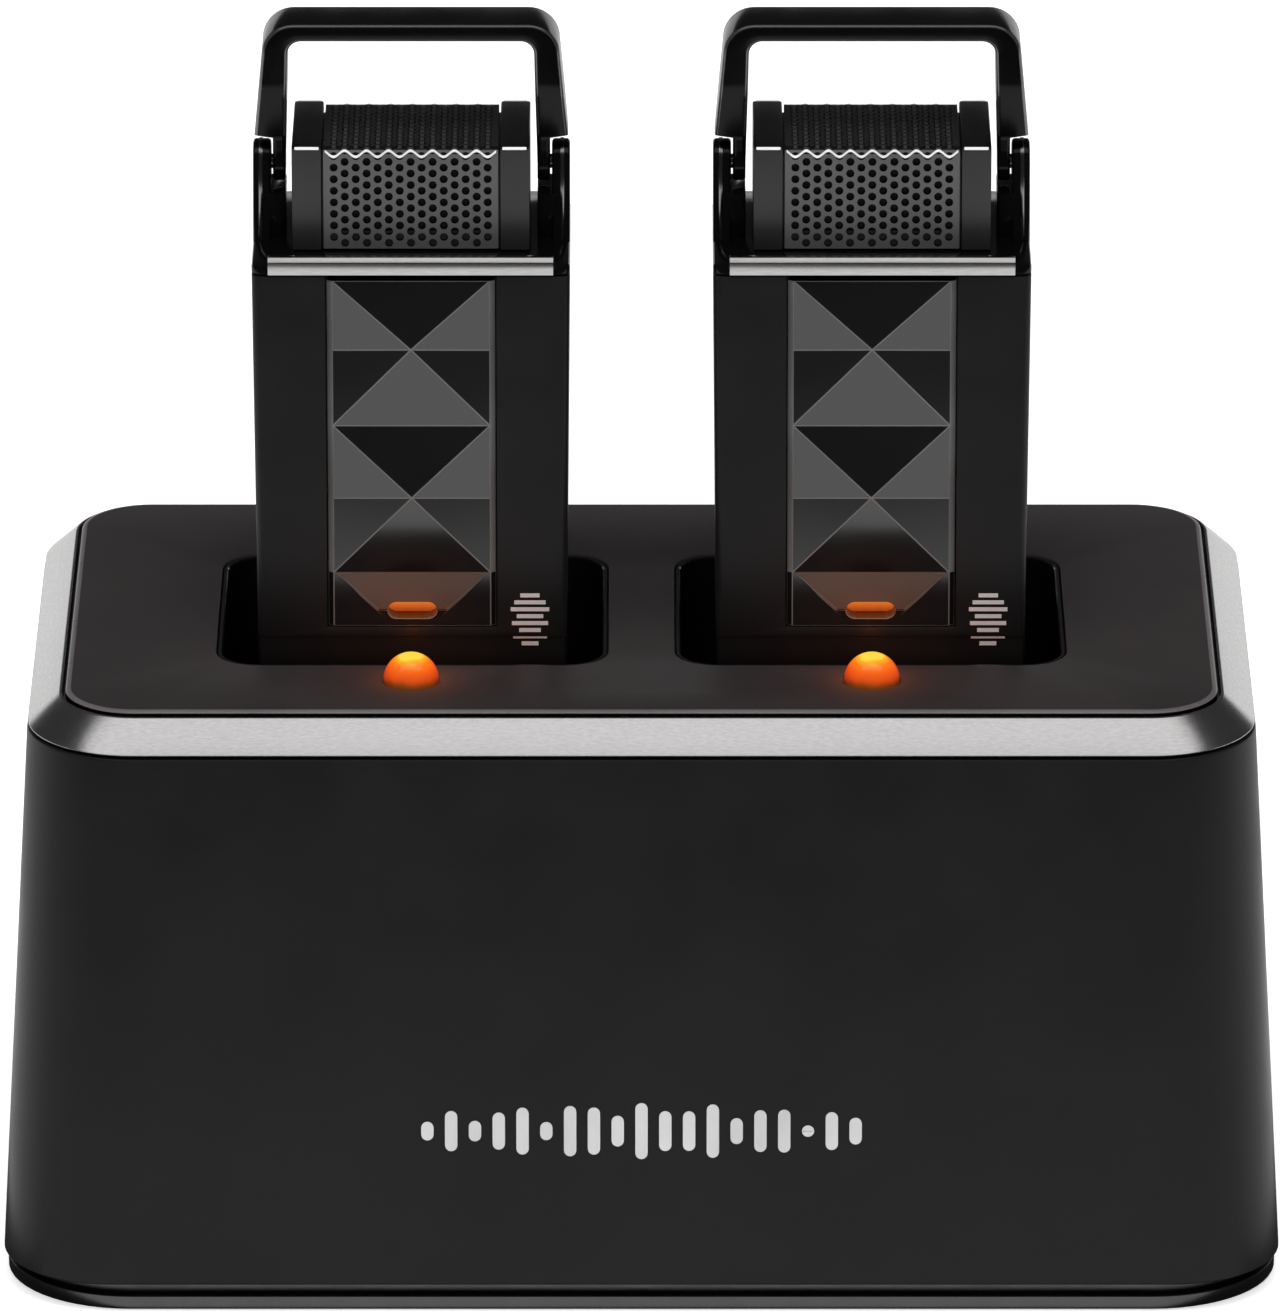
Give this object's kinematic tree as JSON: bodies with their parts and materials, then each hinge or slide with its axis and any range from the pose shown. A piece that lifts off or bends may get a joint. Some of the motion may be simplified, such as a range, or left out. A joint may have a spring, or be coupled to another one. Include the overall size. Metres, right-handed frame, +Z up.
{
  "type": "wireless microphone transmitter charging dock",
  "caption": "Tapered charging dock with pendant wireless microphone transmitters standing in its pockets, each with a lanyard bail, mic grille and rear clip.",
  "frame": {"origin": "on the table under the middle of the dock", "axes": "+X to the right along the dock's long side, +Y from the front towards the back where the power socket is, +Z up"},
  "size_m": [0.1062, 0.0622, 0.1029],
  "materials": {
    "housing": "satin black moulded plastic, lightly grained",
    "ring": "satin silver, brushed along its length",
    "deck": "satin warm black, fine grain",
    "liner": "high gloss black",
    "base": "satin dark grey",
    "foot": "matt black rubber",
    "screw": "nickel plated",
    "board": "green solder mask",
    "contact": "gold plated",
    "socket": "plated steel shell",
    "lamp": "clear amber, lit from inside",
    "body": "satin black moulded plastic",
    "facet": "semi-gloss dark grey",
    "gloss": "high gloss black",
    "band": "satin silver",
    "head": "satin dark grey",
    "grille": "dark grey perforated sheet",
    "foam": "open-cell foam, black",
    "capsule": "bare can",
    "cell": "blue-grey wrap"
  },
  "bodies": {
    "dock": {"dock_housing": "housing", "trim_ring": "ring", "deck_plate": "deck", "base_plate": "base", "charge_board": "board", "usb_socket": "socket", "pocket_liner_left": "liner", "indicator_lens_left": "lamp", "foot_front_left": "foot", "base_screw_front_left": "screw", "foot_back_left": "foot", "base_screw_back_left": "screw", "pocket_liner_right": "liner", "indicator_lens_right": "lamp", "foot_front_right": "foot", "base_screw_front_right": "screw", "foot_back_right": "foot", "base_screw_back_right": "screw"},
    "left_pins": {"contact_pin_left_1": "contact", "contact_pin_left_2": "contact"},
    "left_transmitter": {"left_front_cover": "body", "left_facet_panel": "facet", "left_rear_shell": "body", "left_yoke_frame": "gloss", "left_trim_band": "band", "left_head_cradle": "head", "left_mic_grille": "grille", "left_grille_foam": "foam", "left_mic_capsule": "capsule", "left_pivot_pin_1": "screw", "left_pivot_pin_2": "screw", "left_status_lens": "lamp", "left_circuit_board": "board", "left_battery": "cell", "left_charge_contacts": "contact", "left_clip_pin": "screw"},
    "left_bail": {"left_bail": "gloss"},
    "left_power_button": {"left_power_button": "gloss"},
    "left_rear_clip": {"left_rear_clip": "gloss"},
    "right_pins": {"contact_pin_right_1": "contact", "contact_pin_right_2": "contact"},
    "right_transmitter": {"right_front_cover": "body", "right_facet_panel": "facet", "right_rear_shell": "body", "right_yoke_frame": "gloss", "right_trim_band": "band", "right_head_cradle": "head", "right_mic_grille": "grille", "right_grille_foam": "foam", "right_mic_capsule": "capsule", "right_pivot_pin_1": "screw", "right_pivot_pin_2": "screw", "right_status_lens": "lamp", "right_circuit_board": "board", "right_battery": "cell", "right_charge_contacts": "contact", "right_clip_pin": "screw"},
    "right_bail": {"right_bail": "gloss"},
    "right_power_button": {"right_power_button": "gloss"},
    "right_rear_clip": {"right_rear_clip": "gloss"}
  },
  "joints": [
    {"name": "left_lift", "type": "slide", "parent": "dock", "child": "left_transmitter", "axis": [0, 0, 1], "range_m": [0, 0.03]},
    {"name": "left_pins_press", "type": "slide", "parent": "dock", "child": "left_pins", "axis": [0, 0, -1], "range_m": [0, 0.001], "stiffness_N_per_m": 100, "springref_m": -0.001},
    {"name": "left_bail_swing", "type": "hinge", "parent": "left_transmitter", "child": "left_bail", "pos_m": [-0.019, 0, 0.0903], "axis": [1, 0, 0], "range_deg": [-90, 90]},
    {"name": "left_button_press", "type": "slide", "parent": "left_transmitter", "child": "left_power_button", "axis": [0, -1, 0], "range_m": [0, 0.0005], "stiffness_N_per_m": 1000, "springref_m": -0.0006},
    {"name": "left_clip_open", "type": "hinge", "parent": "left_transmitter", "child": "left_rear_clip", "pos_m": [-0.019, 0.0122, 0.0724], "axis": [1, 0, 0], "range_deg": [0, 20], "stiffness_Nm_per_rad": 0.15, "springref_deg": -11.46},
    {"name": "right_lift", "type": "slide", "parent": "dock", "child": "right_transmitter", "axis": [0, 0, 1], "range_m": [0, 0.03]},
    {"name": "right_pins_press", "type": "slide", "parent": "dock", "child": "right_pins", "axis": [0, 0, -1], "range_m": [0, 0.001], "stiffness_N_per_m": 100, "springref_m": -0.001},
    {"name": "right_bail_swing", "type": "hinge", "parent": "right_transmitter", "child": "right_bail", "pos_m": [0.019, 0, 0.0903], "axis": [1, 0, 0], "range_deg": [-90, 90]},
    {"name": "right_button_press", "type": "slide", "parent": "right_transmitter", "child": "right_power_button", "axis": [0, -1, 0], "range_m": [0, 0.0005], "stiffness_N_per_m": 1000, "springref_m": -0.0006},
    {"name": "right_clip_open", "type": "hinge", "parent": "right_transmitter", "child": "right_rear_clip", "pos_m": [0.019, 0.0122, 0.0724], "axis": [1, 0, 0], "range_deg": [0, 20], "stiffness_Nm_per_rad": 0.15, "springref_deg": -11.46}
  ]
}
